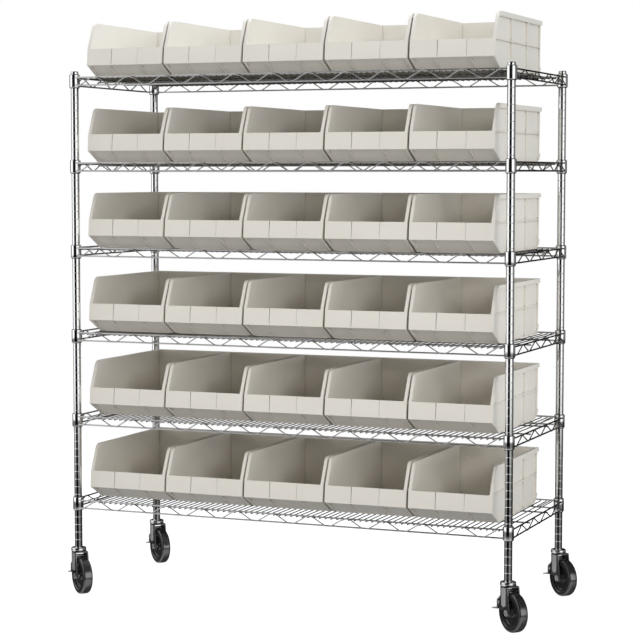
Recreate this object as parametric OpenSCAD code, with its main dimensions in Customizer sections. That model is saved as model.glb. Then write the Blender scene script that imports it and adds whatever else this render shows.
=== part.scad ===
// Mobile bin shelving: a wire rack on braked swivel casters, with open-fronted
// plastic bins side by side on every shelf. Millimetres, +Z up, front towards -Y.
// The origin is on the floor, under the middle of the four posts.

/* [Posts] */
// Distance between post centres across the width
post_span_w = 1491.4; // [1000:0.1:1800]
// Distance between post centres from front to back
post_span_d = 571.8; // [560:0.1:760]
// Outer diameter of a post
post_dia = 25.4; // [22:0.1:30]
// Wall of the post tube
post_wall = 1.6; // [1:0.1:3]
// Length of a post
post_length = 1573; // [1400:1:2200]
// Height step between the grooves that carry the shelves
groove_pitch = 25.4; // [20:0.1:60]
// Width of a groove
groove_width = 2.4; // [1.5:0.1:4]
// Depth of a groove
groove_depth = 0.6; // [0.3:0.1:0.8]
// Thickness of the cap on a post
cap_h = 3; // [2:0.5:6]

/* [Shelves] */
// Number of shelves
shelf_count = 6; // [2:1:6]
// Height of the lowest collar's top above the lower end of the posts
first_shelf_rise = 168.3; // [120:0.1:240]
// Distance of the highest collar's top under the upper end of the posts
top_room = 7.7; // [4:0.1:60]
// Outer diameter of a corner collar
collar_dia = 34.5; // [33.5:0.1:40]
// Height of a corner collar
collar_h = 42.4; // [42:0.1:60]
// Diameter of the rods along the shelf edges
rod_dia = 5.2; // [4.5:0.1:7]
// Depth of the upper rod's centre under the collar's top
rod_drop = 9.5; // [6:0.1:14]
// Height from the lower rod to the upper rod
truss_h = 25.8; // [20:0.1:30]
// Distance of the rods outside the line through the post centres
rod_offset = 12.6; // [10:0.1:16]
// Thickness of the zigzag wire
zigzag_wire = 3.8; // [3:0.1:5]
// Wanted length of one zigzag wave on the long edges
long_wave = 126.4; // [90:0.1:180]
// Wanted length of one zigzag wave on the short edges
short_wave = 134; // [90:0.1:180]
// Length of the zigzag's flat crests on the long edges
long_crest = 20; // [8:1:30]
// Length of the zigzag's flat crests on the short edges
short_crest = 8; // [4:1:30]
// Diameter of the deck wires
deck_wire = 3.6; // [2.5:0.1:4]
// Distance between deck wires
deck_pitch = 19.7; // [15:0.1:40]
// Thickness of the two square stringers under the deck
stringer_bar = 5; // [4:0.1:7]
// Distance of the stringers from the middle of the shelf
stringer_offset = 102; // [60:1:180]

/* [Sleeves] */
// Wall of a split sleeve at its top
sleeve_wall_top = 1.3; // [1:0.1:1.6]
// Wall of a split sleeve at its bottom
sleeve_wall_bottom = 2.1; // [1.7:0.1:2.6]
// Height of a split sleeve
sleeve_h = 46; // [44:1:60]
// Height that a sleeve stands above its collar
sleeve_stand = 1.2; // [1:0.1:6]

/* [Bins] */
// Bins side by side on a shelf
bins_per_shelf = 5; // [1:1:5]
// Distance from bin to bin
bin_pitch = 281.2; // [281:0.1:286]
// Sideways place of the row of bins
bin_row_shift = -16; // [-20:1:20]
// Distance of the bins' front edge in front of the shelf's middle
bin_front = 258; // [240:1:270]
// Width of a bin over its rim
bin_w = 277.2; // [240:0.1:279]
// Length of a bin with its hanging lip
bin_len = 515; // [460:1:530]
// Height of a bin
bin_h = 183; // [160:1:200]
// Step of the rim outside the body on each side
rim_step = 0.5; // [0.3:0.1:3]
// Narrowing of the body on each side, from the rim down to the foot
bin_draft = 2; // [0.5:0.5:4]
// Height of the rim
rim_h = 13.5; // [8:0.5:20]
// Depth of the hanging lip behind the rear wall
hang_lip = 18; // [10:1:24]
// Thickness of walls, floor and rim
bin_wall = 3.2; // [2:0.1:4]
// Depth of the panels sunk into the sides
panel_depth = 7; // [2:0.5:9]
// Half the thickness of the ribs between the panels
rib_half = 2.2; // [1:0.1:4]
// Height of the front lip's lower edge
lip_low = 43; // [36:1:60]
// Height of the front lip's upper edge
lip_high = 97; // [80:1:120]
// Distance that the lip leans back from its lower to its upper edge
lip_lean = 6; // [0:1:12]
// Distance from the lip back to the top of the open front
mouth_run = 46; // [30:1:70]
// Radius of the side's upper front corner
mouth_r = 26; // [6:1:30]
// Distance from the lip back to the base, along the sloping underside
slope_run = 76; // [50:1:90]
// Depth of the pockets between the ribs under the slope, at their upper end
slope_pocket = 8; // [4:0.5:9]
// Distance of the two ribs under the slope from the bin's middle
slope_rib_x = 57; // [30:1:80]
// Width of the label's place between the two slots in the lip
label_w = 94; // [60:1:160]
// Width of the left label slot; the right one is half as wide
label_slot = 2.4; // [1.5:0.1:4]
// Depth of the label slots
label_depth = 3; // [1:0.1:4]
// Height of the foot rim under the base
foot_h = 2; // [1:0.5:10]
// Distance of the foot rim inside the body
foot_inset = 16; // [10:1:30]
// Radius of the curved heel at the bottom of the rear wall
heel_r = 45; // [36:1:60]
// Room between a bin's foot and the deck
bin_seat_gap = 0.5; // [0.2:0.1:0.9]

/* [Casters] */
// Diameter of a wheel
wheel_dia = 122; // [100:1:150]
// Width of the tyre
tyre_w = 32; // [24:1:36]
// Height from the top of the wheel to the lower end of the post
caster_room = 30.5; // [20:0.5:40]
// Distance from the swivel axis to the axle
trail = 30; // [26:1:36]
// Heading of the casters at rest, as a turn about the post
heading = -39.9; // [-180:0.1:180]
// Diameter of the stem in the post
stem_dia = 11; // [9:0.1:13]
// Length of the stem in the post
stem_len = 42; // [30:1:60]
// Diameter of the axle bolt
axle_dia = 12; // [8:0.5:14]
// Thickness of the fork's sheet
fork_sheet = 3.5; // [2.5:0.1:5]
// Room between the wheel's hub and each side of the fork
hub_gap = 0.5; // [0.3:0.1:1]
// Diameter of the brake pedal's pivot pin
pedal_pin = 6; // [4:0.5:7]
// Width of the brake pedal
pedal_w = 26; // [16:1:32]

/* [Hidden] */
$fn = 48;
run_gap = 0.05;     // radial clearance of pins, stems and sleeves
weld_gap = 0.05;    // hairline between a rod's end and its collar
mat_gap = 0.1;      // hairline between the deck wires and the rods above them
weld_sink = 0.5;    // how far welded wires press into each other
over = 1;           // extra length of a cutting shape

corner_names = ["front_left", "front_right", "rear_left", "rear_right"];
corners = [
    [-post_span_w / 2, -post_span_d / 2], [post_span_w / 2, -post_span_d / 2],
    [-post_span_w / 2, post_span_d / 2], [post_span_w / 2, post_span_d / 2]
];
caster_part_names = ["caster_fork_", "axle_bolt_", "caster_wheel_", "brake_pedal_"];

post_bottom = wheel_dia + caster_room;
post_top = post_bottom + post_length;
post_bore = post_dia - 2 * post_wall;

shelf_pitch = (post_length - first_shelf_rise - top_room) / (shelf_count - 1);
function collar_top(k) = post_bottom + first_shelf_rise + (k - 1) * shelf_pitch;
sleeve_r_top = post_dia / 2 + run_gap + sleeve_wall_top;
sleeve_r_bottom = post_dia / 2 + run_gap + sleeve_wall_bottom;
sleeve_bands = 3;
band_h = sleeve_h / sleeve_bands;
function band_r(i) = sleeve_r_bottom + (sleeve_r_top - sleeve_r_bottom) * i / (sleeve_bands - 1);

top_rod_z = -rod_drop;
low_rod_z = top_rod_z - truss_h;
zigzag_offset = rod_offset + rod_dia / 2 + zigzag_wire / 2 - weld_sink;
deck_wire_z = top_rod_z - rod_dia / 2 - mat_gap - deck_wire / 2;
deck_top_z = deck_wire_z + deck_wire / 2;
stringer_z = deck_wire_z - deck_wire / 2 - stringer_bar / 2 + weld_sink;
deck_reach = zigzag_offset - zigzag_wire / 2 - 4 * mat_gap;
deck_wires = floor((post_span_w - collar_dia - 2 * deck_wire) / deck_pitch) + 1;

body_half = bin_w / 2 - rim_step;
wall_out = body_half - panel_depth;
wall_in = wall_out - bin_wall;
back_y = bin_len - hang_lip;
heel_y = back_y - 0.66 * heel_r;
heel_tip = -20;
heel_wall = 1.6 * bin_wall;
rim_z = bin_h - rim_h;
panel_y = [0.37 * back_y, 0.71 * back_y];
panel_edge = 6;

hub_half = tyre_w / 2 + 2.5;
leg_in = hub_half + hub_gap;
leg_out = leg_in + fork_sheet;
axle_z = wheel_dia / 2;
cup_top = post_bottom - 1;
cup_low = cup_top - 11;
crown_top = cup_low - 1;
crown_low = crown_top - 3.5;
cup_r = 25;
cup_wall = 3;
rivet_r = 8;
rivet_h = 3;
pivot_x = -3;
pivot_z = axle_z + sqrt(pow(wheel_dia / 2 + 8, 2) - pow(trail - pivot_x, 2));
leg_back = pivot_x - 6;
leg_front = trail - 1;

// Points on a circular arc
function arc(centre, r, from, to, steps = 8) =
    [for (i = [0:steps]) let (a = from + (to - from) * i / steps) centre + r * [cos(a), sin(a)]];

// Unit vector from one point to another
function heading_of(a, b) = (b - a) / norm(b - a);

// Where two lines meet, each given by a point and a direction
function crossing(p, u, q, v) =
    p + u * ((q - p)[0] * v[1] - (q - p)[1] * v[0]) / (u[0] * v[1] - u[1] * v[0]);

// Corner of an anticlockwise outline moved inwards by d
function inner_corner(a, b, c, d) =
    let (u = heading_of(a, b), v = heading_of(b, c))
    crossing(b + d * [-u[1], u[0]], u, b + d * [-v[1], v[0]], v);

// Anticlockwise convex outline moved inwards by d
function inset(points, d) =
    let (n = len(points))
    [for (i = [0:n - 1]) inner_corner(points[(i + n - 1) % n], points[i], points[(i + 1) % n], d)];

// Rounded corner at b between the lines to a and to c, with radius r
function round_corner(a, b, c, r, steps = 6) =
    let (
        u = heading_of(b, a),
        v = heading_of(b, c),
        half = acos(u * v) / 2,
        centre = b + (u + v) / norm(u + v) * r / sin(half),
        p = b + u * r / tan(half) - centre,
        q = b + v * r / tan(half) - centre,
        from = atan2(p[1], p[0]),
        turn = (atan2(q[1], q[0]) - from + 540) % 360 - 180
    )
    arc(centre, r, from, from + turn, steps);

// Offset of a polyline to one side, with mitred corners
function side_line(points, d) =
    let (n = len(points))
    [for (i = [0:n - 1])
        let (
            u = heading_of(points[max(i - 1, 0)], points[max(i, 1)]),
            v = heading_of(points[min(i, n - 2)], points[min(i + 1, n - 1)]),
            m = [-u[1] - v[1], u[0] + v[0]]
        )
        points[i] + d * m * 2 / (m * m)];

// Closed outline of a strip of thickness t along a polyline
function strip(points, t) =
    let (back = side_line(points, -t / 2), n = len(points))
    concat(side_line(points, t / 2), [for (i = [n - 1:-1:0]) back[i]]);

// Outline in the Y-Z plane drawn out along X, centred on it
module side_prism(points, width) {
    translate([-width / 2, 0, 0])
        rotate([90, 0, 90]) linear_extrude(width) polygon(points);
}

// Outline in the X-Z plane drawn out along Y, centred on it
module front_prism(points, width) {
    translate([0, width / 2, 0])
        rotate([90, 0, 0]) linear_extrude(width) polygon(points);
}

module rod_x(length, d) {
    rotate([0, 90, 0]) cylinder(d = d, h = length, center = true);
}

module rod_y(length, d) {
    rotate([90, 0, 0]) cylinder(d = d, h = length, center = true);
}

module at_corners() {
    for (c = corners) translate([c[0], c[1], 0]) children();
}

// Posts: grooved tubes, their caps and the sockets for the casters
module post(c) {
    grooves = floor((post_length - groove_pitch) / groove_pitch);
    r = post_dia / 2;
    outside = [for (i = [1:grooves], p = [
        [r, -groove_width / 2], [r - groove_depth, -groove_width / 4],
        [r - groove_depth, groove_width / 4], [r, groove_width / 2]
    ]) p + [0, i * groove_pitch]];
    color("lightgray")
        translate([c[0], c[1], post_bottom])
            rotate_extrude()
                polygon(concat(
                    [[post_bore / 2, 0], [r, 0]], outside,
                    [[r, post_length], [post_bore / 2, post_length]]));
}

module post_caps() {
    plug_h = 12;
    color("gainsboro")
        at_corners() translate([0, 0, post_top]) {
            cylinder(d1 = post_dia, d2 = post_dia - 3, h = cap_h);
            translate([0, 0, -plug_h]) cylinder(d = post_bore - 2 * run_gap, h = plug_h);
        }
}

module stem_sockets() {
    color("dimgray")
        at_corners() translate([0, 0, post_bottom])
            difference() {
                cylinder(d = post_bore - 2 * run_gap, h = stem_len + 4);
                translate([0, 0, -over]) cylinder(d = stem_dia + 2 * run_gap, h = stem_len + over);
            }
}

// Split sleeves: two half shells at each collar, narrowing upwards in steps
module sleeve_halves() {
    slit = 4;
    r = post_dia / 2 + run_gap;
    for (turn = [0, 180])
        rotate([0, 0, turn + slit / 2])
            rotate_extrude(angle = 180 - slit)
                polygon(concat(
                    [[r, 0]],
                    [for (i = [0:sleeve_bands - 1], end = [i, i + 1]) [band_r(i), end * band_h]],
                    [[r, sleeve_h]]));
}

module split_sleeves() {
    color("black")
        for (k = [1:shelf_count])
            at_corners()
                translate([0, 0, collar_top(k) + sleeve_stand - sleeve_h]) sleeve_halves();
}

// Shelves: corner collars, four welded trusses and the deck of wires
module collar() {
    translate([0, 0, -collar_h])
        difference() {
            cylinder(d = collar_dia, h = collar_h);
            translate([0, 0, sleeve_stand + collar_h - sleeve_h - over])
                for (i = [0:sleeve_bands - 1])
                    cylinder(r = band_r(i) + run_gap, h = (i + 1) * band_h + run_gap + over);
        }
}

// Centre line of a zigzag of n half waves, starting at the lower rod where lead is 0
function zigzag_path(span, n, crest, lead) = [
    for (i = [0:n], s = [-1, 1])
        if (!(i == 0 && s < 0) && !(i == n && s > 0))
            [-span / 2 + i * span / n + s * crest / 2, (i + lead) % 2 == 0 ? low_rod_z : top_rod_z]
];

// Two rods and a zigzag along X, with the outside towards -Y; the opposite edge is its mirror image
module truss(post_span, wave, crest, opposite) {
    span = post_span - collar_dia - zigzag_wire;
    half_waves = round(span / (wave / 2));
    lead = opposite ? half_waves % 2 : 0;
    difference() {
        union() {
            for (z = [top_rod_z, low_rod_z])
                translate([0, -rod_offset, z]) rod_x(post_span, rod_dia);
            translate([0, -zigzag_offset, 0])
                front_prism(strip(zigzag_path(span, half_waves, crest, lead), zigzag_wire), zigzag_wire);
        }
        for (s = [-1, 1])
            translate([s * post_span / 2, 0, -collar_h - over])
                cylinder(d = collar_dia + 2 * weld_gap, h = collar_h + 2 * over);
    }
}

module deck_mat() {
    for (i = [0:deck_wires - 1])
        translate([(i - (deck_wires - 1) / 2) * deck_pitch, 0, deck_wire_z])
            rod_y(post_span_d + 2 * deck_reach, deck_wire);
    for (s = [-1, 1])
        translate([0, s * stringer_offset, stringer_z])
            cube([post_span_w + 2 * deck_reach, stringer_bar, stringer_bar], center = true);
}

module shelf(k) {
    color("silver")
        translate([0, 0, collar_top(k)]) {
            at_corners() collar();
            for (turn = [0, 180]) rotate([0, 0, turn]) {
                translate([0, -post_span_d / 2, 0]) truss(post_span_w, long_wave, long_crest, turn > 0);
                translate([post_span_w / 2, 0, 0])
                    rotate([0, 0, 90]) truss(post_span_d, short_wave, short_crest, turn > 0);
            }
            deck_mat();
        }
}

// Bins: front lip at y = 0, foot at z = 0
function lip_y(z) = lip_lean * (z - lip_low) / (lip_high - lip_low);
function mouth_y(z) = lip_lean + (mouth_run - lip_lean) * (z - lip_high) / (bin_h - lip_high);
heel_centre = [heel_y, foot_h + heel_r];
function heel_angle(r) = -acos((back_y - heel_y) / r);

bin_outline = concat(
    [[slope_run, foot_h]],
    [for (i = [0:8]) let (a = -90 + (heel_tip + 90) * i / 8) heel_centre + heel_r * [cos(a), sin(a)]],
    arc(heel_centre, heel_r - heel_wall, heel_tip, heel_angle(heel_r - heel_wall), 4),
    [[back_y, bin_h]],
    round_corner([back_y, bin_h], [mouth_run, bin_h], [lip_lean, lip_high], mouth_r),
    [[lip_lean, lip_high], [0, lip_low]]
);

slope_normal = heading_of([0, lip_low], [slope_run, foot_h]) * [[0, 1], [-1, 0]];
pocket_foot = 0.15 * slope_pocket;
pocket_line = [[0, lip_low] + slope_pocket * slope_normal, [slope_run, foot_h] + pocket_foot * slope_normal];
inner_line = [for (p = pocket_line) p + bin_wall * slope_normal];
floor_z = foot_h + bin_wall;
lip_inside = label_depth + bin_wall;

// Space inside a bin, open at the top and above the lip
bin_inside = let (
    u = heading_of(inner_line[0], inner_line[1]),
    v = heading_of([0, lip_low], [lip_lean, lip_high]),
    foot_point = crossing(inner_line[0], u, [0, floor_z], [1, 0]),
    lip_point = crossing(inner_line[0], u, [lip_inside, lip_low], v)
) [
    foot_point,
    [heel_y, floor_z],
    [back_y - bin_wall, foot_h + heel_r * (1 + sin(heel_angle(heel_r))) + bin_wall],
    [back_y - bin_wall, bin_h + over],
    [-over, bin_h + over],
    [-over, lip_high],
    [lip_lean + lip_inside, lip_high],
    lip_point
];

// Side panels between the ribs, lower row then upper row
lower_panels = [
    [[slope_run + panel_edge, foot_h], [panel_y[0], foot_h], [panel_y[0], lip_high],
        [lip_lean + panel_edge, lip_high], [panel_edge, lip_low]],
    [[panel_y[0], foot_h], [panel_y[1], foot_h], [panel_y[1], lip_high], [panel_y[0], lip_high]],
    [[panel_y[1], foot_h], [heel_y, foot_h],
        [back_y, foot_h + heel_r * (1 + sin(heel_angle(heel_r)))], [back_y, lip_high], [panel_y[1], lip_high]]
];
upper_panels = [
    [[lip_lean + panel_edge, lip_high], [panel_y[0], lip_high], [panel_y[0], rim_z],
        [mouth_y(rim_z) + panel_edge, rim_z]],
    [[panel_y[0], lip_high], [panel_y[1], lip_high], [panel_y[1], rim_z], [panel_y[0], rim_z]],
    [[panel_y[1], lip_high], [back_y, lip_high], [back_y, rim_z], [panel_y[1], rim_z]]
];

module bin_rim() {
    front_set = 8;
    rim_outline = concat(
        [[mouth_y(rim_z) + front_set, rim_z], [bin_len, rim_z], [bin_len, bin_h]],
        round_corner([bin_len, bin_h], [mouth_run + front_set, bin_h],
            [mouth_y(rim_z) + front_set, rim_z], min(mouth_r, 1.5 * rim_h))
    );
    difference() {
        side_prism(rim_outline, bin_w);
        translate([-bin_w / 2 + bin_wall, back_y, rim_z - over])
            cube([bin_w - 2 * bin_wall, hang_lip - bin_wall, rim_h - bin_wall + over]);
    }
}

module bin_foot() {
    long = heel_y - slope_run - foot_inset;
    wide = 2 * (body_half - foot_inset);
    translate([0, slope_run + foot_inset / 2 + long / 2, 0])
        difference() {
            translate([-wide / 2, -long / 2, 0]) cube([wide, long, foot_h + over]);
            translate([-wide / 2 + bin_wall, -long / 2 + bin_wall, -over])
                cube([wide - 2 * bin_wall, long - 2 * bin_wall, foot_h + over]);
        }
}

module slope_pockets() {
    reach = [pocket_line[0] + (pocket_line[0] - pocket_line[1]) * 0.2, pocket_line[1]];
    edges = [-wall_in, -slope_rib_x, slope_rib_x, wall_in];
    for (i = [0:2]) {
        from = edges[i] + (i > 0 ? rib_half / 2 : 0);
        to = edges[i + 1] - (i < 2 ? rib_half / 2 : 0);
        intersection() {
            translate([(from + to) / 2, 0, 0])
                side_prism([reach[1], reach[0], [reach[0][0], -over], [reach[1][0], -over]], to - from);
            translate([from, lip_inside, -over]) cube([to - from, slope_run, lip_high]);
        }
    }
}

module side_panels() {
    for (s = [-1, 1], panel = concat(lower_panels, upper_panels))
        translate([s * (wall_out + panel_depth), 0, 0])
            side_prism(inset(panel, rib_half), 2 * panel_depth);
}

module side_drafts() {
    for (s = [-1, 1])
        translate([0, bin_len / 2, 0])
            front_prism([
                [s * body_half, rim_z], [s * bin_w, rim_z],
                [s * bin_w, -over], [s * (body_half - bin_draft), -over]
            ], 2 * bin_len);
}

module storage_bin() {
    label_low = lip_low + bin_wall;
    difference() {
        union() {
            side_prism(bin_outline, 2 * body_half);
            bin_rim();
            bin_foot();
        }
        side_prism(bin_inside, 2 * wall_in);
        side_panels();
        side_drafts();
        slope_pockets();
        for (slot = [[-label_w / 2, label_slot], [label_w / 2, label_slot / 2]])
            translate([slot[0], 0, 0])
                side_prism([
                    [-over, label_low], [lip_y(label_low) + label_depth, label_low],
                    [lip_y(lip_high + over) + label_depth, lip_high + over], [-over, lip_high + over]
                ], slot[1]);
    }
}

module placed_bin(k, j) {
    color("ivory")
        translate([
            bin_row_shift + (j - (bins_per_shelf + 1) / 2) * bin_pitch,
            -bin_front,
            collar_top(k) + deck_top_z + bin_seat_gap
        ]) storage_bin();
}

// Casters: the swivel axis is the Z axis, and the axle lies ahead of it along X
module at_caster(c) {
    translate([c[0], c[1], 0]) rotate([0, 0, heading]) children();
}

module caster_stems() {
    color("silver")
        at_corners() {
            translate([0, 0, post_bottom - over]) cylinder(d = stem_dia, h = stem_len + over - run_gap);
            translate([0, 0, cup_top]) cylinder(d = post_dia, h = post_bottom - cup_top - run_gap);
            difference() {
                translate([0, 0, cup_low]) cylinder(r = cup_r, h = cup_top - cup_low);
                translate([0, 0, cup_low - over])
                    cylinder(r = cup_r - cup_wall, h = cup_top - cup_low - cup_wall + over);
            }
            translate([0, 0, crown_low - rivet_h]) cylinder(d = axle_dia, h = cup_top - crown_low + rivet_h);
            translate([0, 0, crown_low - rivet_h - 0.3]) cylinder(r = rivet_r, h = rivet_h);
        }
}

module fork_leg() {
    boss_r = 12;
    leg = [
        [leg_back, crown_top], [leg_back, axle_z + 17], [leg_back + 7, axle_z + 10],
        [trail - boss_r / 2, axle_z - 0.86 * boss_r], [trail + boss_r, axle_z], [leg_front, crown_top]
    ];
    difference() {
        union() {
            front_prism(leg, fork_sheet);
            translate([trail, 0, axle_z]) rod_y(fork_sheet, 2 * boss_r);
        }
        translate([trail, 0, axle_z]) rod_y(fork_sheet + over, axle_dia + 2 * run_gap);
        translate([pivot_x, 0, pivot_z]) rod_y(fork_sheet + over, pedal_pin + 2 * run_gap);
    }
}

module caster_fork(c) {
    race_r = cup_r - cup_wall - 3;
    race_top = cup_top - cup_wall - 0.5;
    color("lightgray")
        at_caster(c) {
            for (s = [-1, 1]) translate([0, s * (leg_in + leg_out) / 2, 0]) fork_leg();
            difference() {
                union() {
                    translate([leg_back, -leg_out, crown_low])
                        cube([leg_front - leg_back, 2 * leg_out, crown_top - crown_low]);
                    translate([0, 0, crown_low]) cylinder(r = race_r, h = race_top - crown_low);
                }
                translate([0, 0, crown_low - over])
                    cylinder(d = axle_dia + 2 * run_gap, h = race_top - crown_low + 2 * over);
            }
        }
}

module axle_bolt(c) {
    head_r = axle_dia * 0.85;
    head_h = 6;
    color("silver")
        at_caster(c) translate([trail, 0, axle_z]) {
            rod_y(2 * (leg_out + head_h), axle_dia);
            for (s = [-1, 1])
                translate([0, s * (leg_out + run_gap + head_h / 2), 0])
                    rotate([90, 0, 0]) cylinder(r = head_r, h = head_h, center = true, $fn = 6);
        }
}

module caster_wheel(c) {
    r = wheel_dia / 2;
    tyre_in = 0.74 * r;
    shoulder = 7;
    boss_r = axle_dia;
    web_half = 7;
    half = tyre_w / 2;
    rim_half = half - 2;
    rim_in = tyre_in - 6;
    color("black")
        at_caster(c) translate([trail, 0, axle_z]) rotate([90, 0, 0]) {
            rotate_extrude()
                polygon(concat(
                    [[tyre_in, -half], [r - shoulder, -half]],
                    arc([r - shoulder, -half + shoulder], shoulder, -75, 0, 5),
                    arc([r - shoulder, half - shoulder], shoulder, 0, 75, 5),
                    [[r - shoulder, half], [tyre_in, half]]));
            rotate_extrude()
                polygon([
                    [axle_dia / 2 + run_gap, -hub_half], [boss_r, -hub_half], [boss_r + 2, -web_half],
                    [rim_in, -web_half], [rim_in, -rim_half], [tyre_in - run_gap, -rim_half],
                    [tyre_in - run_gap, rim_half], [rim_in, rim_half], [rim_in, web_half],
                    [boss_r + 2, web_half], [boss_r, hub_half], [axle_dia / 2 + run_gap, hub_half]
                ]);
        }
}

// Brake pedal: turns about a pin through the fork and presses a shoe on the tyre
module brake_pedal(c) {
    sheet = 3.5;
    tube_r = 5.5;
    shoe_out = 5;
    wheel_r = wheel_dia / 2;
    arm_x = trail - wheel_r - 11;
    arm = [[pivot_x, pivot_z], [arm_x, axle_z + 28], [arm_x, axle_z + 1], [arm_x - 29, axle_z - 3]];
    color("dimgray")
        at_caster(c) {
            translate([pivot_x, 0, pivot_z]) {
                rod_y(2 * leg_out, pedal_pin);
                rod_y(2 * leg_in - 2 * hub_gap, 2 * tube_r);
            }
            front_prism(strip(arm, sheet), pedal_w);
            intersection() {
                translate([trail, 0, axle_z]) difference() {
                    rod_y(pedal_w - 4, 2 * wheel_r + 30);
                    rod_y(pedal_w, 2 * (wheel_r + shoe_out));
                }
                translate([arm_x, -pedal_w / 2, axle_z + 15]) cube([20, pedal_w, 10]);
            }
        }
}

for (i = [0:3]) {
    name = corner_names[i];
    post(corners[i]);
    caster_fork(corners[i]);
    axle_bolt(corners[i]);
    caster_wheel(corners[i]);
    brake_pedal(corners[i]);
}
post_caps();
split_sleeves();
stem_sockets();
caster_stems();
for (k = [1:shelf_count]) {
    shelf(k);
    for (j = [1:bins_per_shelf])
        placed_bin(k, j);
}
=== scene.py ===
import math

import bmesh
import bpy
from mathutils import Matrix, Vector


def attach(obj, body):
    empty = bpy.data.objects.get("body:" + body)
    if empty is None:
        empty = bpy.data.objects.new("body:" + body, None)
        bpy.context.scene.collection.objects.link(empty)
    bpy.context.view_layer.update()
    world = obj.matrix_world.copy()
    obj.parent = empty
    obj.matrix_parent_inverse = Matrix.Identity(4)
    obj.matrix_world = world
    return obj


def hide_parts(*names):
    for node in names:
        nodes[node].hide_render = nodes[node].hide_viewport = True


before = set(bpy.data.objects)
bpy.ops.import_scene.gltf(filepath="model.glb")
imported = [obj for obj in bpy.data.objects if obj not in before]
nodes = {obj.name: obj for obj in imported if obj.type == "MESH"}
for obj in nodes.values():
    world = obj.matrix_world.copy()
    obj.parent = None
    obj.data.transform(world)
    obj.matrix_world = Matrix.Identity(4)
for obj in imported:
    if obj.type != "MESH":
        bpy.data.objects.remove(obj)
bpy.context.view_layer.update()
scene = bpy.context.scene

rack = {
    "halfWidth": 0.7457, "halfDepth": 0.2859, "postBottom": 0.1525, "firstShelf": 0.3208,
    "shelfPitch": 0.2794, "shelves": 6, "bins": 5, "heading": -39.9,
}
corners = {
    "front_left": (-rack["halfWidth"], -rack["halfDepth"]),
    "front_right": (rack["halfWidth"], -rack["halfDepth"]),
    "rear_left": (-rack["halfWidth"], rack["halfDepth"]),
    "rear_right": (rack["halfWidth"], rack["halfDepth"]),
}


def addNode(tree, kind, inputs, out, settings):
    # settings first, then the sockets' values or links; a list links several to one socket
    made = tree.nodes.new(kind)
    for key, value in settings.items():
        setattr(made, key, value)
    for key, value in (inputs or {}).items():
        for one in value if isinstance(value, list) else [value]:
            if isinstance(one, Sock):
                tree.links.new(one.socket, made.inputs[key])
            else:
                made.inputs[key].default_value = one
    return Sock(tree, made.outputs[out])


class Sock:
    # wraps one socket, so that node maths reads like arithmetic
    def __init__(self, tree, socket):
        self.tree = tree
        self.socket = socket

    def node(self, kind, inputs=None, out=0, **settings):
        return addNode(self.tree, kind, inputs, out, settings)

    def math(self, operation, first, second=0.0):
        return self.node("ShaderNodeMath", {0: first, 1: second}, operation=operation)

    def __add__(self, other):
        return self.math("ADD", self, other)

    def __sub__(self, other):
        return self.math("SUBTRACT", self, other)

    def __rsub__(self, other):
        return self.math("SUBTRACT", other, self)

    def __mul__(self, other):
        return self.math("MULTIPLY", self, other)

    def __truediv__(self, other):
        return self.math("DIVIDE", self, other)

    def __mod__(self, other):
        return self.math("MODULO", self, other)

    def floor(self):
        return self.math("FLOOR", self)

    def sqrt(self):
        return self.math("SQRT", self)

    def ramp(self, low, high, toLow=0.0, toHigh=1.0):
        inputs = {"Value": self, "From Min": low, "From Max": high, "To Min": toLow, "To Max": toHigh}
        return self.node("ShaderNodeMapRange", inputs, interpolation_type="SMOOTHSTEP")

    def mix(self, first, second):
        colours = [c if isinstance(c, Sock) else (*c, 1) for c in (first, second)]
        inputs = {"Factor": self, 6: colours[0], 7: colours[1]}
        return self.node("ShaderNodeMix", inputs, 2, data_type="RGBA")

    def split(self):
        return [self.node("ShaderNodeSeparateXYZ", {0: self}, axis) for axis in range(3)]

    def noise(self, scale, detail, rough=0.55):
        inputs = {"Vector": self, "Scale": scale, "Detail": detail, "Roughness": rough}
        return self.node("ShaderNodeTexNoise", inputs)


def newMaterial(name):
    # a principled material with its object coordinates
    material = bpy.data.materials.new(name)
    material.use_nodes = True
    tree = material.node_tree
    return material, tree.nodes["Principled BSDF"], addNode(tree, "ShaderNodeTexCoord", None, "Object", {})


def feed(shader, name, sock):
    sock.tree.links.new(sock.socket, shader.inputs[name])


def feedBump(shader, height, strength, distance):
    inputs = {"Height": height, "Strength": strength, "Distance": distance}
    feed(shader, "Normal", height.node("ShaderNodeBump", inputs))


def makeChrome(name, colour, lowRough, highRough):
    material, shader, place = newMaterial(name)
    shader.inputs["Metallic"].default_value = 1.0
    haze = place.noise(9.0, 4.0)
    specks = place.noise(420.0, 2.0)
    feed(shader, "Base Color", specks.ramp(0.55, 0.75).mix(colour, [c * 0.9 for c in colour]))
    feed(shader, "Roughness", haze.ramp(0.3, 0.7, lowRough, highRough))
    feedBump(shader, place.noise(55.0, 2.0), 0.04, 0.0004)  # slight waviness of plate on drawn wire
    return material


def makeIvory():
    material, shader, place = newMaterial("ivoryPlastic")
    shader.inputs["IOR"].default_value = 1.49
    shader.inputs["Specular IOR Level"].default_value = 0.4
    cloud = place.noise(6.0, 3.0)
    grain = place.noise(1500.0, 2.0)
    scuff = place.noise(70.0, 6.0, 0.7)
    base = cloud.ramp(0.3, 0.7).mix((0.86, 0.811, 0.728), (0.838, 0.788, 0.703))
    worn = scuff.ramp(0.62, 0.8, 0.0, 0.35).mix(base, (0.75, 0.71, 0.63))
    # ambient occlusion read into the base colour: painted shade in hollows
    paintedCornerShade = place.node("ShaderNodeAmbientOcclusion", {"Distance": 0.012}, 1, samples=6, only_local=True)
    feed(shader, "Base Color", paintedCornerShade.ramp(0.12, 0.68).mix((0.34, 0.32, 0.29), worn))  # painted shade: the colour darkens in the bin's own corners, creases and slots
    feed(shader, "Roughness", (scuff * 0.2 + 0.36) + cloud * 0.06)
    feedBump(shader, grain, 0.12, 0.0002)  # fine moulded texture
    return material


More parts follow.
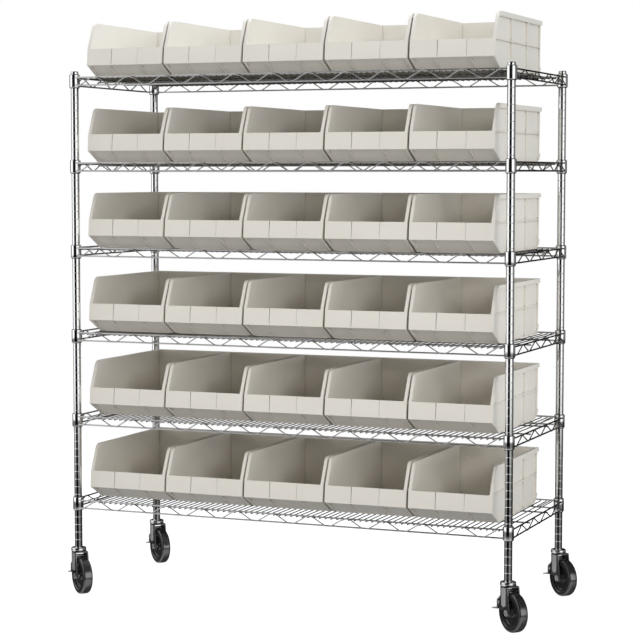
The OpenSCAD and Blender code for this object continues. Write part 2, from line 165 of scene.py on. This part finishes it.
def makeRubber():
    material, shader, place = newMaterial("wheelRubber")
    dust = place.noise(60.0, 6.0, 0.65)
    wear = place.noise(14.0, 3.0)
    feed(shader, "Base Color", dust.ramp(0.5, 0.8).mix((0.022, 0.022, 0.023), (0.045, 0.044, 0.042)))
    shader.inputs["Specular IOR Level"].default_value = 0.6
    turn = math.radians(rack["heading"])
    axle = (-math.sin(turn), math.cos(turn), 0)
    normal = place.node("ShaderNodeTexCoord", out="Normal")
    across = place.node("ShaderNodeVectorMath", {0: normal, 1: axle}, 1, operation="DOT_PRODUCT")
    feed(shader, "Coat Weight", (across * across).ramp(0.85, 0.25))  # the floor polishes only the tread
    shader.inputs["Coat Roughness"].default_value = 0.12
    shader.inputs["Coat IOR"].default_value = 2.1
    feed(shader, "Roughness", wear.ramp(0.3, 0.7, 0.14, 0.24))
    feedBump(shader, place.noise(900.0, 3.0), 0.18, 0.0003)
    return material


def makeBlackPlastic():
    material, shader, place = newMaterial("sleevePlastic")
    grain = place.noise(800.0, 2.0)
    shade = place.noise(25.0, 4.0).ramp(0.35, 0.7)
    feed(shader, "Base Color", shade.mix((0.012, 0.012, 0.012), (0.028, 0.028, 0.028)))
    feed(shader, "Roughness", grain.ramp(0.3, 0.7, 0.35, 0.5))
    feedBump(shader, grain, 0.1, 0.0002)
    return material


chrome = makeChrome("chromePlate", (0.83, 0.83, 0.835), 0.05, 0.12)
# the next two are darker copies of the same chrome plating: painted shade that keeps truss rods, zigzags and
# deck wires dark
edgeChromePaintedShade = makeChrome("edgeChromePaintedShade", (0.62, 0.62, 0.625), 0.06, 0.14)
wireChromePaintedShade = makeChrome("wireChromePaintedShade", (0.28, 0.28, 0.285), 0.06, 0.14)
zinc = makeChrome("zincPlate", (0.74, 0.75, 0.76), 0.10, 0.20)
# a dark copy of the zinc plating: painted shade on the fork legs, crown and race
forkSteelPaintedShade = makeChrome("forkSteelPaintedShade", (0.20, 0.20, 0.205), 0.16, 0.30)
ribSteel = makeChrome("ribSteel", (0.62, 0.62, 0.63), 0.40, 0.52)
ivory = makeIvory()
rubber = makeRubber()
blackPlastic = makeBlackPlastic()
print("materials made")


def sharpEdges(work, angle):
    limit = math.radians(angle)
    return [e for e in work.edges if len(e.link_faces) == 2 and e.calc_face_angle(0) > limit]


def roundEdges(work, edges, offset):
    bmesh.ops.bevel(work, geom=edges, offset=offset, segments=2, profile=0.6,
                    affect="EDGES", clamp_overlap=True)


class Shell:
    # gathers faces for one mesh
    def __init__(self):
        self.verts = []
        self.faces = []

    def lathe(self, profile, matrix, segments=40, closed=True):
        # profile points are (radius, height); a closed profile makes a ring
        start = len(self.verts)
        for radius, height in profile:
            for i in range(segments):
                angle = 2 * math.pi * i / segments
                point = Vector((radius * math.cos(angle), radius * math.sin(angle), height))
                self.verts.append(matrix @ point)
        count = len(profile)
        for p in range(count if closed else count - 1):
            a, b = start + p * segments, start + (p + 1) % count * segments
            for i in range(segments):
                j = (i + 1) % segments
                self.faces.append((a + i, a + j, b + j, b + i))
        if not closed:
            self.faces.append(tuple(start + i for i in reversed(range(segments))))
            self.faces.append(tuple(start + (count - 1) * segments + i for i in range(segments)))

    def prism(self, outline, low, high, matrix):
        # outline points are (x, z), drawn out along y
        start, count = len(self.verts), len(outline)
        for y in (low, high):
            for x, z in outline:
                self.verts.append(matrix @ Vector((x, y, z)))
        for i in range(count):
            j = (i + 1) % count
            self.faces.append((start + i, start + j, start + count + j, start + count + i))
        self.faces.append(tuple(start + i for i in reversed(range(count))))
        self.faces.append(tuple(start + count + i for i in range(count)))

    def make(self, name, material, bevel=0.0, sharp=35):
        mesh = bpy.data.meshes.new(name)
        mesh.from_pydata([tuple(v) for v in self.verts], [], self.faces)
        work = bmesh.new()
        work.from_mesh(mesh)
        bmesh.ops.recalc_face_normals(work, faces=work.faces)
        if bevel:
            roundEdges(work, sharpEdges(work, sharp), bevel)
        work.to_mesh(mesh)
        work.free()
        smoothShade(mesh, sharp)
        return addPiece(name, flatFaces(mesh) if bevel else mesh, material)


def smoothShade(mesh, sharp):
    mesh.shade_smooth()
    mesh.set_sharp_from_angle(angle=math.radians(sharp))


def evaluatedMesh(carrier):
    # the carrier with its modifiers, as a plain mesh; the carrier is removed
    bpy.context.view_layer.update()
    made = bpy.data.meshes.new_from_object(carrier.evaluated_get(bpy.context.evaluated_depsgraph_get()))
    carrier.modifiers.clear()
    bpy.data.objects.remove(carrier)
    return made


def flatFaces(mesh):
    # weighted normals keep broad faces flat between rounded edges
    carrier = bpy.data.objects.new("carrier", mesh)
    scene.collection.objects.link(carrier)
    carrier.modifiers.new("weighted", "WEIGHTED_NORMAL").keep_sharp = True
    return evaluatedMesh(carrier)


def addPiece(name, mesh, material):
    mesh.name = name
    mesh.materials.clear()
    mesh.materials.append(material)
    piece = bpy.data.objects.new(name, mesh)
    scene.collection.objects.link(piece)
    return piece


def fit(piece, body, slot, *replaced):
    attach(piece, body)
    if replaced:
        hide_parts(*replaced)


def at(corner, z=0.0):
    return Matrix.Translation((*corners[corner], z))


# posts
post = {
    "radius": 0.0127, "wall": 0.0016, "length": 1.573, "pitch": 0.0254, "groove": 0.0014, "depth": 0.0003,
    "edge": 0.0003, "hold": 0.0005,  # rounded ends, and rings that keep the shading straight
}


def postProfile():
    r, inner, deep = post["radius"], post["radius"] - post["wall"], post["radius"] - post["depth"]
    half, edge, hold, top = post["groove"] / 2, post["edge"], post["hold"], post["length"]
    points = [(inner, edge), (inner + edge, 0), (r - edge, 0), (r, edge), (r, edge + hold)]
    for i in range(1, int((top - post["pitch"]) / post["pitch"]) + 1):
        z = i * post["pitch"]
        points += [(r, z - half - hold), (r, z - half), (deep, z - 0.5 * half)]
        points += [(deep, z + 0.5 * half), (r, z + half), (r, z + half + hold)]
    points += [(r, top - edge - hold), (r, top - edge), (r - edge, top)]
    return points + [(inner + edge, top), (inner, top - edge)]


for corner in corners:
    shell = Shell()
    shell.lathe(postProfile(), at(corner, rack["postBottom"]))
    fit(shell.make("post_" + corner + "_look", chrome, sharp=50), "rack", "chrome", "post_" + corner)

cap = {"radius": 0.0127, "height": 0.003, "plug": 0.0111, "depth": 0.012}


def capProfile():
    r, h, plug = cap["radius"], cap["height"], cap["plug"]
    return [(plug, -cap["depth"]), (plug, 0), (r, 0), (r, 0.0008), (r - 0.0005, 0.0017),
            (r - 0.0015, h - 0.0004), (r - 0.003, h), (0.002, h)]


shell = Shell()
for corner in corners:
    shell.lathe(capProfile(), at(corner, rack["postBottom"] + post["length"]), closed=False)
fit(shell.make("postCaps", chrome, sharp=50), "rack", "chrome", "post_caps")
print("posts made")


# wire shelves
wire = {
    "rod": 0.0026, "rodDrop": 0.0095, "trussHeight": 0.0258, "rodOut": 0.0126,
    "zigzag": 0.0019, "zigzagOut": 0.0166, "bend": 0.03,
    "longHalves": 23, "shortHalves": 8, "longCrest": 0.020, "shortCrest": 0.008,
    "collar": 0.03450, "collarHeight": 0.0424, "boreLow": 0.01490, "boreHigh": 0.01405,
    "deckCount": 74, "deckPitch": 0.0197, "deckWire": 0.0018, "stringer": 0.0025, "stringerOut": 0.102,
    "intoCollar": 0.62, "deckInset": 0.0004, "hairline": 0.0001, "welded": 0.0005,  # how the wires meet
}


class Geo:
    # builds a geometry node tree with named inputs
    def __init__(self, name):
        self.tree = bpy.data.node_groups.new(name, "GeometryNodeTree")
        self.tree.interface.new_socket("Geometry", in_out="OUTPUT", socket_type="NodeSocketGeometry")
        self.entry = self.tree.nodes.new("NodeGroupInput")

    def input(self, name, kind="NodeSocketFloat"):
        self.tree.interface.new_socket(name, in_out="INPUT", socket_type=kind)
        return Sock(self.tree, self.entry.outputs[name])

    def node(self, kind, inputs=None, out=0, **settings):
        return addNode(self.tree, kind, inputs, out, settings)

    def vector(self, x=0.0, y=0.0, z=0.0):
        return self.node("ShaderNodeCombineXYZ", {0: x, 1: y, 2: z})

    def line(self, start, end):
        return self.node("GeometryNodeCurvePrimitiveLine", {"Start": start, "End": end})

    def tube(self, curve, radius, sides):
        ring = self.node("GeometryNodeCurvePrimitiveCircle", {"Resolution": sides, "Radius": radius})
        inputs = {"Curve": curve, "Profile Curve": ring, "Fill Caps": True}
        return self.node("GeometryNodeCurveToMesh", inputs)

    def move(self, geometry, offset, turn=0.0):
        inputs = {"Geometry": geometry, "Translation": offset, "Rotation": (0, 0, turn)}
        return self.node("GeometryNodeTransform", inputs)

    def join(self, parts):
        return self.node("GeometryNodeJoinGeometry", {"Geometry": list(reversed(parts))})

    def finish(self, geometry, material):
        solid = self.node("GeometryNodeRealizeInstances", {"Geometry": geometry})
        shown = self.node("GeometryNodeSetMaterial", {"Geometry": solid, "Material": material})
        self.tree.links.new(shown.socket, self.tree.nodes.new("NodeGroupOutput").inputs[0])

    def build(self, name, values, material):
        # evaluates the tree once and returns a plain mesh object
        carrier = bpy.data.objects.new(name + "Carrier", bpy.data.meshes.new(name + "Carrier"))
        scene.collection.objects.link(carrier)
        modifier = carrier.modifiers.new("nodes", "NODES")
        modifier.node_group = self.tree
        values = dict(values, Material=material)
        for item in self.tree.interface.items_tree:
            if item.in_out == "INPUT":
                modifier[item.identifier] = values[item.name]
        mesh = evaluatedMesh(carrier)
        smoothShade(mesh, 50)
        return addPiece(name, mesh, material)


def shelfTree(name, long):
    # long: the front and rear trusses, otherwise the deck, its stringers and the end trusses
    g = Geo(name)
    level = g.input("Level")
    halfWidth, halfDepth = g.input("Half Width"), g.input("Half Depth")
    rod, rodDrop, rodOut = g.input("Rod Radius"), g.input("Rod Drop"), g.input("Rod Out")
    trussHeight, collar = g.input("Truss Height"), g.input("Collar Radius")
    zigzag, zigzagOut, bend = g.input("Zigzag Radius"), g.input("Zigzag Out"), g.input("Bend Radius")
    deckCount = g.input("Deck Count", "NodeSocketInt")
    deckPitch, deckWire = g.input("Deck Pitch"), g.input("Deck Radius")
    stringer, stringerOut = g.input("Stringer Radius"), g.input("Stringer Out")
    longHalves, longCrest = g.input("Long Halves", "NodeSocketInt"), g.input("Long Crest")
    shortHalves, shortCrest = g.input("Short Halves", "NodeSocketInt"), g.input("Short Crest")
    material = g.input("Material", "NodeSocketMaterial")

    def truss(half, halves, crest, lead=0.0):
        # one edge along x: two rods and a bent zigzag, outside towards -y
        span = half * 2.0 - (collar + zigzag) * 2.0
        reach = half - collar * wire["intoCollar"]
        points = g.node("GeometryNodeMeshLine", {"Count": halves * 2.0})
        index = g.node("GeometryNodeInputIndex")
        step = ((index + 1.0) / 2.0).floor()
        side = 1.0 - index % 2.0 * 2.0
        x = span * -0.5 + step * (span / halves) + side * crest * 0.5
        z = ((step + lead) % 2.0 - 1.0) * trussHeight - rodDrop
        place = g.vector(x, zigzagOut * -1.0, z)
        bent = g.node("GeometryNodeSetPosition", {"Geometry": points, "Position": place})
        path = g.node("GeometryNodeMeshToCurve", {"Mesh": bent})
        inputs = {"Curve": path, "Radius": bend, "Limit Radius": True, "Count": 4}
        parts = [g.tube(g.node("GeometryNodeFilletCurve", inputs, mode="POLY"), zigzag, 8)]
        for lower in (0.0, 1.0):
            y, z = rodOut * -1.0, trussHeight * -lower - rodDrop
            parts.append(g.tube(g.line(g.vector(reach * -1.0, y, z), g.vector(reach, y, z)), rod, 12))
        return g.join(parts)

    if long:
        front = truss(halfWidth, longHalves, longCrest)
        rear = truss(halfWidth, longHalves, longCrest, longHalves % 2.0)  # mirror image of the front
        parts = [g.move(front, g.vector(0.0, halfDepth * -1.0))]
        parts.append(g.move(rear, g.vector(0.0, halfDepth), math.pi))
    else:
        end = g.move(truss(halfDepth, shortHalves, shortCrest), g.vector(halfWidth), math.pi / 2)
        parts = [end, g.move(end, (0, 0, 0), math.pi)]
        overhang = zigzagOut - (zigzag + wire["deckInset"])
        deckZ = (rodDrop + rod + (deckWire + wire["hairline"])) * -1.0
        reach, wide = halfDepth + overhang, halfWidth + overhang
        spots = g.node("GeometryNodeMeshLine", {
            "Count": deckCount, "Offset": g.vector(deckPitch),
            "Start Location": g.vector((deckCount - 1.0) * deckPitch * -0.5, 0.0, deckZ),
        })
        strand = g.tube(g.line(g.vector(0.0, reach * -1.0, 0.0), g.vector(0.0, reach, 0.0)), deckWire, 8)
        parts.append(g.node("GeometryNodeInstanceOnPoints", {"Points": spots, "Instance": strand}))
        for s in (-1.0, 1.0):
            y, z = stringerOut * s, deckZ - (stringer + (deckWire - wire["welded"]))
            parts.append(g.tube(g.line(g.vector(wide * -1.0, y, z), g.vector(wide, y, z)), stringer, 10))
    g.finish(g.move(g.join(parts), g.vector(0.0, 0.0, level)), material)
    return g


shelfEdges = shelfTree("shelfEdges", True)
shelfDeck = shelfTree("shelfDeck", False)


def collarProfile():
    r, h = wire["collar"] / 2, wire["collarHeight"]
    return [(wire["boreLow"], -h), (r - 0.0012, -h), (r - 0.0002, -h + 0.0007), (r, -h + 0.002),
            (r, -0.002), (r - 0.0002, -0.0007), (r - 0.0012, 0), (wire["boreHigh"], 0)]


shelfInputs = {
    "Half Width": rack["halfWidth"], "Half Depth": rack["halfDepth"],
    "Rod Radius": wire["rod"], "Rod Drop": wire["rodDrop"], "Rod Out": wire["rodOut"],
    "Truss Height": wire["trussHeight"], "Collar Radius": wire["collar"] / 2,
    "Zigzag Radius": wire["zigzag"], "Zigzag Out": wire["zigzagOut"], "Bend Radius": wire["bend"],
    "Deck Count": wire["deckCount"], "Deck Pitch": wire["deckPitch"], "Deck Radius": wire["deckWire"],
    "Stringer Radius": wire["stringer"], "Stringer Out": wire["stringerOut"],
    "Long Halves": wire["longHalves"], "Long Crest": wire["longCrest"],
    "Short Halves": wire["shortHalves"], "Short Crest": wire["shortCrest"],
}
for k in range(1, rack["shelves"] + 1):
    level = rack["firstShelf"] + (k - 1) * rack["shelfPitch"]
    values = dict(shelfInputs, Level=level)
    fit(shelfEdges.build(f"shelf_{k}_edges", values, edgeChromePaintedShade), "rack", "chrome", f"shelf_{k}")
    fit(shelfDeck.build(f"shelf_{k}_deck", values, wireChromePaintedShade), "rack", "chrome")
    shell = Shell()
    for corner in corners:
        shell.lathe(collarProfile(), at(corner, level))
    fit(shell.make(f"shelf_{k}_collars", chrome, sharp=50), "rack", "chrome")
print("shelves made")


# bins: the solid's own shape with rounded edges, shared by all places
storageBin = {
    "pitch": 0.2812, "edge": 0.0009, "weld": 0.00002, "flat": 1, "crease": 25, "shade": 40,
    "middle": -0.5784, "front": -0.258,  # the first bin's middle and lip
    "label": 0.094, "slot": 0.0025, "lipDepth": 0.016,
}


def besideLabel(vert):
    # the narrow slots at the label's ends stay sharp
    across = abs(vert.co.x - storageBin["middle"])
    inSlot = abs(across - storageBin["label"] / 2) < storageBin["slot"]
    return inSlot and vert.co.y < storageBin["front"] + storageBin["lipDepth"]


def softBin():
    work = bmesh.new()
    work.from_mesh(nodes["bin_1_1"].data)
    bmesh.ops.remove_doubles(work, verts=work.verts, dist=storageBin["weld"])
    flat = math.radians(storageBin["flat"])
    bmesh.ops.dissolve_limit(work, angle_limit=flat, verts=work.verts, edges=work.edges)
    creases = sharpEdges(work, storageBin["crease"])
    roundEdges(work, [e for e in creases if not all(besideLabel(v) for v in e.verts)], storageBin["edge"])
    mesh = bpy.data.meshes.new("softBin")
    work.to_mesh(mesh)
    work.free()
    smoothShade(mesh, storageBin["shade"])
    return flatFaces(mesh)


binMesh = softBin()
print("bin faces", len(binMesh.polygons))
for k in range(1, rack["shelves"] + 1):
    for j in range(1, rack["bins"] + 1):
        mesh = binMesh.copy()
        mesh.transform(Matrix.Translation(((j - 1) * storageBin["pitch"], 0, (k - 1) * rack["shelfPitch"])))
        fit(addPiece(f"bin_{k}_{j}_look", mesh, ivory), f"bin_{k}_{j}", "bin_plastic", f"bin_{k}_{j}")
print("bins made")


# casters, each in a frame whose x is its heading
caster = {
    "trail": 0.030, "axle": 0.061, "wheel": 0.061, "half": 0.016, "hub": 0.0185,
    "legIn": 0.019, "legOut": 0.0225, "bolt": 0.006, "nut": 0.0102, "boltOut": 0.006,
    "shoulder": 0.007, "hairline": 0.0001, "edge": 0.0006,
}


def casterFrame(corner):
    return at(corner) @ Matrix.Rotation(math.radians(rack["heading"]), 4, "Z")


def arcPoints(cx, cy, r, start, end, steps):
    angles = [math.radians(start + (end - start) * i / steps) for i in range(steps + 1)]
    return [(cx + r * math.cos(a), cy + r * math.sin(a)) for a in angles]


def wheelProfile():
    r, half, hub, shoulder = caster["wheel"], caster["half"], caster["hub"], caster["shoulder"]
    side = [(0.00605, -hub), (0.0115, -hub), (0.0120, -hub + 0.0005),  # hub
            (0.0140, -0.0080), (0.0150, -0.0070), (0.0380, -0.0070), (0.0392, -0.0082),  # sunk disc
            (0.0400, -0.0135), (0.0440, -0.0140), (0.0452, -0.0138), (0.0458, -0.0150), (0.0470, -half)]
    side += arcPoints(r - shoulder, -half + shoulder, shoulder, -88, 0, 7)  # tyre's shoulder
    side[-1] = (r, -half + shoulder + 0.0005)
    return side + [(x, -y) for x, y in reversed(side)]


fork = {
    "back": -0.009, "front": 0.029, "crownLow": 0.1360, "crownTop": 0.1395, "boss": 0.012,
    "race": 0.018, "raceTop": 0.148, "bore": 0.0061, "edge": 0.0008,
}


def forkOutline():
    # a leg from the side, round below the axle
    back, top, axle = fork["back"], fork["crownTop"], caster["axle"]
    rear = [(back, top), (back, axle + 0.020), (back + 0.002, axle + 0.0155), (back + 0.007, axle + 0.010)]
    boss = arcPoints(caster["trail"], axle, fork["boss"], -120, 10, 8)
    return rear + boss + [(fork["front"], top)]


rib = {
    "back": 0.0, "width": 0.023, "low": 0.0155, "topGap": 0.0035,
    "rise": 0.0028, "sunk": 0.0005, "edge": 0.0018,
}


def ribOutline():
    # upright rib of a fork leg, round at its foot
    r = rib["width"] / 2
    foot = arcPoints(rib["back"] + r, caster["axle"] + rib["low"] + r, r, 180, 360, 10)
    top = fork["crownTop"] - rib["topGap"]
    return foot + [(rib["back"] + rib["width"], top), (rib["back"], top)]


pedal = {
    "pivotX": -0.003, "clear": 0.008, "tube": 0.0055, "tubeHalf": 0.0185, "pin": 0.003,
    "half": 0.013, "sheet": 0.0035, "armOut": 0.011, "edge": 0.0006,
    "shoeGap": 0.005, "shoeInset": 0.002, "shoeLow": 0.015, "shoeTop": 0.025,
}
pivotRise = math.sqrt((caster["wheel"] + pedal["clear"]) ** 2 - (caster["trail"] - pedal["pivotX"]) ** 2)
pivotZ = caster["axle"] + pivotRise
armX = caster["trail"] - caster["wheel"] - pedal["armOut"]


def stripOutline(points, t):
    # closed outline of a bent strip
    sides = []
    for sign in (1, -1):
        line = []
        for i, (x, z) in enumerate(points):
            before, after = points[max(i - 1, 0)], points[min(i + 1, len(points) - 1)]
            u = Vector((x - before[0], z - before[1])) if i else Vector((after[0] - x, after[1] - z))
            v = Vector((after[0] - x, after[1] - z)) if i < len(points) - 1 else u.copy()
            u.normalize()
            v.normalize()
            m = Vector((-u.y - v.y, u.x + v.x))
            line.append((x + sign * t * m.x / m.length_squared, z + sign * t * m.y / m.length_squared))
        sides.append(line)
    return sides[0] + sides[1][::-1]


def armOutline():
    # from the pivot down behind the tyre, then out to the foot plate
    axle = caster["axle"]
    arm = [(pedal["pivotX"], pivotZ), (armX, axle + 0.028), (armX, axle + 0.001)]
    return stripOutline(arm + [(armX - 0.029, axle - 0.003)], pedal["sheet"])


def shoeOutline():
    # block between the arm and the tyre, cut off short of the tread
    axle, reach = caster["axle"], caster["wheel"] + pedal["shoeGap"]
    low, top = axle + pedal["shoeLow"], axle + pedal["shoeTop"]
    face = [(caster["trail"] - math.sqrt(reach ** 2 - (z - axle) ** 2), z) for z in (low, top)]
    return [(armX, low)] + face + [(armX, top)]


acrossTurn = Matrix.Rotation(math.radians(90), 4, "X")  # lathe axis to the axle
for corner in corners:
    body, out = "caster_" + corner, caster["legOut"]
    placed = casterFrame(corner)
    axleFrame = placed @ Matrix.Translation((caster["trail"], 0, caster["axle"])) @ acrossTurn
    pivotFrame = placed @ Matrix.Translation((pedal["pivotX"], 0, pivotZ)) @ acrossTurn

    shell = Shell()
    shell.lathe(wheelProfile(), axleFrame, 96)
    look = shell.make(f"wheel_{corner}_look", rubber, sharp=30)
    fit(look, "wheel_" + corner, "wheel_rubber", "caster_wheel_" + corner)

    shell = Shell()
    back, front, low, top = fork["back"], fork["front"], fork["crownLow"], fork["crownTop"]
    for s in (-1, 1):
        shell.prism(forkOutline(), *sorted((s * caster["legIn"], s * out)), placed)
    shell.prism([(back, low), (front, low), (front, top), (back, top)], -out, out, placed)
    bore, race, raceTop = fork["bore"], fork["race"], fork["raceTop"]
    shell.lathe([(bore, low), (race, low), (race, raceTop), (bore, raceTop)], placed)
    look = shell.make(f"fork_{corner}_look", forkSteelPaintedShade, bevel=fork["edge"])
    fit(look, body, "zinc_steel", "caster_fork_" + corner)

    shell = Shell()
    for s in (-1, 1):
        shell.prism(ribOutline(), *sorted((s * (out - rib["sunk"]), s * (out + rib["rise"]))), placed)
    fit(shell.make(f"forkRib_{corner}", ribSteel, bevel=rib["edge"]), body, "zinc_steel")

    shell = Shell()
    bolt, nut, end = caster["bolt"], caster["nut"], out + caster["boltOut"]
    shell.lathe([(bolt, -end), (bolt, end)], axleFrame, 32, closed=False)
    for s in (-1, 1):
        near, far = sorted((s * (out + caster["hairline"]), s * end))
        shell.lathe([(nut, near), (nut, far)], axleFrame, 6, closed=False)
    look = shell.make(f"axle_{corner}_look", ribSteel, bevel=caster["edge"])
    fit(look, body, "zinc_steel", "axle_bolt_" + corner)

    shell = Shell()
    pin, tube, tubeHalf, half = pedal["pin"], pedal["tube"], pedal["tubeHalf"], pedal["half"]
    shell.lathe([(pin, -out), (pin, out)], pivotFrame, 24, closed=False)
    shell.lathe([(tube, -tubeHalf), (tube, tubeHalf)], pivotFrame, 24, closed=False)
    shell.prism(armOutline(), -half, half, placed)
    shell.prism(shoeOutline(), -half + pedal["shoeInset"], half - pedal["shoeInset"], placed)
    look = shell.make(f"pedal_{corner}_look", ribSteel, bevel=pedal["edge"])
    fit(look, "pedal_" + corner, "zinc_steel", "brake_pedal_" + corner)

stem = {
    "head": 0.008, "headLow": 0.1327, "headTop": 0.1357, "pin": 0.006, "cup": 0.025, "cupLow": 0.1405,
    "cupTop": 0.1515, "cupWall": 0.003, "flange": 0.0127, "rod": 0.0055, "rodTop": 0.0419,
}


def stemProfile():
    # from the riveted head up through the king pin, the race cup and the flange to the stem
    s, bottom = stem, rack["postBottom"]
    cup, low, top, inside = s["cup"], s["cupLow"], s["cupTop"], s["cup"] - s["cupWall"]
    points = [(s["head"], s["headLow"]), (s["head"], s["headTop"]), (s["pin"], s["headTop"])]
    points += [(s["pin"], top - s["cupWall"]), (inside, top - s["cupWall"]), (inside, low + 0.0005)]
    points += [(cup - 0.0025, low), (cup - 0.0005, low), (cup, low + 0.0008), (cup, top - 0.0022)]
    points += [(cup - 0.0008, top - 0.0008), (cup - 0.0025, top), (s["flange"], top)]
    seat = bottom - caster["hairline"]
    return points + [(s["flange"], seat), (s["rod"], seat), (s["rod"], bottom + s["rodTop"])]


shell = Shell()
for corner in corners:
    shell.lathe(stemProfile(), at(corner), 48, closed=False)
fit(shell.make("casterStems", zinc, sharp=40), "rack", "zinc_steel", "caster_stems")
print("casters made")

for name in ("split_sleeves", "stem_sockets"):
    nodes[name].data.materials.clear()
    nodes[name].data.materials.append(blackPlastic)


# camera, light and backdrop
view = {"place": (2.4873, -6.0512, 1.3874), "tiltDown": 4.154, "turn": 22.283, "lens": 111.745}
camera = bpy.data.objects.new("camera", bpy.data.cameras.new("camera"))
scene.collection.objects.link(camera)
camera.location = view["place"]
camera.rotation_euler = (math.pi / 2 - math.radians(view["tiltDown"]), 0, math.radians(view["turn"]))
camera.data.sensor_width = 36
camera.data.lens = view["lens"]
camera.data.clip_end = 100
scene.camera = camera

studio = {
    "darkX": 0.061, "darkY": -0.998, "front": 0.01, "sides": 1.3, "back": 0.22,  # what chrome mirrors
    "floorShare": 0.16, "nearFloor": 0.5, "leftHigh": 0.9, "leftLow": 0.4,
    "right": 0.4, "round": 0.45, "rear": 0.2, "cool": (0.93, 0.985, 1.03),  # light on matt surfaces
    "floorSize": 3.4, "floorMatt": (0.55, 0.55, 0.55, 1), "floorShade": (0.3, 0.3, 0.3, 1), "floorGlow": 0.92,
}
lights = {
    "keyLight": {
        "place": (4.2, -4.4, 2.4), "target": (-0.2, 0, 0.75), "size": (1.3, 1.3), "power": 6.2, "spread": 42,
    },
    "sideLight": {
        "place": (5.1, -0.4, 0.95), "target": (0.8, 0, 0.9), "size": (0.6, 0.6), "power": 0.5, "spread": 28,
    },
    "topLight": {
        "place": (-0.1, 0.2, 4.2), "target": (-0.1, 0, 1.0), "size": (1.3, 1.8), "power": 50,
        "tint": (0.84, 0.955, 1.12),
    },
    "lowFrontLight": {
        "place": (-2.6, -4.9, 0.9), "target": (0, 0, 1.0), "size": (1.2, 1.0), "power": 42,
    },
}


def stripes(x, y):
    # dark towards the viewer, white panels at the sides, grey then dark behind
    length = (x * x + y * y).sqrt() + 0.0001  # never zero
    facing = (x * studio["darkX"] + y * studio["darkY"]) / length
    side = facing.ramp(0.865, 0.81) * facing.ramp(0.02, 0.18)
    behind = facing.ramp(0.16, -0.02) * facing.ramp(-0.86, -0.74)
    return side * studio["sides"] + behind * studio["back"] + studio["front"]


def makeWorld():
    world = bpy.data.worlds.new("studio")
    scene.world = world
    world.use_nodes = True
    tree = world.node_tree
    tree.nodes.clear()
    out = tree.nodes.new("ShaderNodeOutputWorld")
    path = tree.nodes.new("ShaderNodeLightPath")
    x, y, z = addNode(tree, "ShaderNodeTexCoord", None, "Generated", {}).split()
    level = z.ramp(0.55, 0.25, 0.07, 1.0) * z.ramp(-0.15, -0.10, studio["floorShare"], 1.0)
    floor = z.ramp(-0.22, -0.36) * y.ramp(0.2, -0.2, 0.15, 1.0) * studio["nearFloor"]
    left = z.ramp(0.3, 0.6) * studio["leftHigh"] + z.ramp(-0.2, -0.45) * studio["leftLow"]
    mirrored = stripes(x, y) * level + floor + x.ramp(-0.30, -0.46) * left
    diffuse = x.ramp(-0.1, 0.8) * studio["right"] + y.ramp(0.2, 0.9) * studio["rear"] + studio["round"]
    glossy = Sock(tree, path.outputs["Is Glossy Ray"])
    seen = Sock(tree, path.outputs["Is Camera Ray"])
    strength = glossy * mirrored + (1.0 - glossy) * diffuse
    matt = (1.0 - glossy) * (1.0 - seen)
    back = tree.nodes.new("ShaderNodeBackground")
    feed(back, "Color", (matt * x.ramp(-0.1, 0.6)).mix((1, 1, 1), studio["cool"]))  # cooler from the right
    feed(back, "Strength", seen + (1.0 - seen) * strength)
    tree.links.new(back.outputs[0], out.inputs[0])


def makeFloor():
    # seen as nearly white with the object's shadow, matt grey for all other light
    material = bpy.data.materials.new("studioFloor")
    material.use_nodes = True
    tree = material.node_tree
    tree.nodes.clear()
    out = tree.nodes.new("ShaderNodeOutputMaterial")
    toCamera = addNode(tree, "ShaderNodeLightPath", None, "Is Camera Ray", {})
    matt = toCamera.node("ShaderNodeBsdfDiffuse", {"Color": studio["floorMatt"]})
    shaded = toCamera.node("ShaderNodeBsdfDiffuse", {"Color": studio["floorShade"]})
    pale = toCamera.node("ShaderNodeEmission", {"Strength": studio["floorGlow"]})
    seen = toCamera.node("ShaderNodeAddShader", {0: pale, 1: shaded})
    shown = toCamera.node("ShaderNodeMixShader", {0: toCamera, 1: matt, 2: seen})
    tree.links.new(shown.socket, out.inputs[0])
    half = studio["floorSize"]
    mesh = bpy.data.meshes.new("floor")
    square = [(-half, -half, 0), (half, -half, 0), (half, half, 0), (-half, half, 0)]
    mesh.from_pydata(square, [], [(0, 1, 2, 3)])
    mesh.materials.append(material)
    floor = bpy.data.objects.new("floor", mesh)
    scene.collection.objects.link(floor)
    floor.visible_glossy = False  # chrome mirrors the world below the horizon instead


def areaLight(name, place, target, size, power, spread=180, tint=(1, 1, 1)):
    light = bpy.data.lights.new(name, "AREA")
    light.shape = "RECTANGLE"
    light.size, light.size_y = size
    light.energy = power
    light.color = tint
    light.spread = math.radians(spread)
    lamp = bpy.data.objects.new(name, light)
    scene.collection.objects.link(lamp)
    lamp.location = place
    lamp.rotation_euler = (Vector(target) - Vector(place)).to_track_quat("-Z", "Y").to_euler()
    lamp.visible_glossy = False
    lamp.visible_camera = False


makeWorld()
makeFloor()
for name, settings in lights.items():
    areaLight(name, **settings)
scene.view_settings.view_transform = "Standard"
print("studio made")
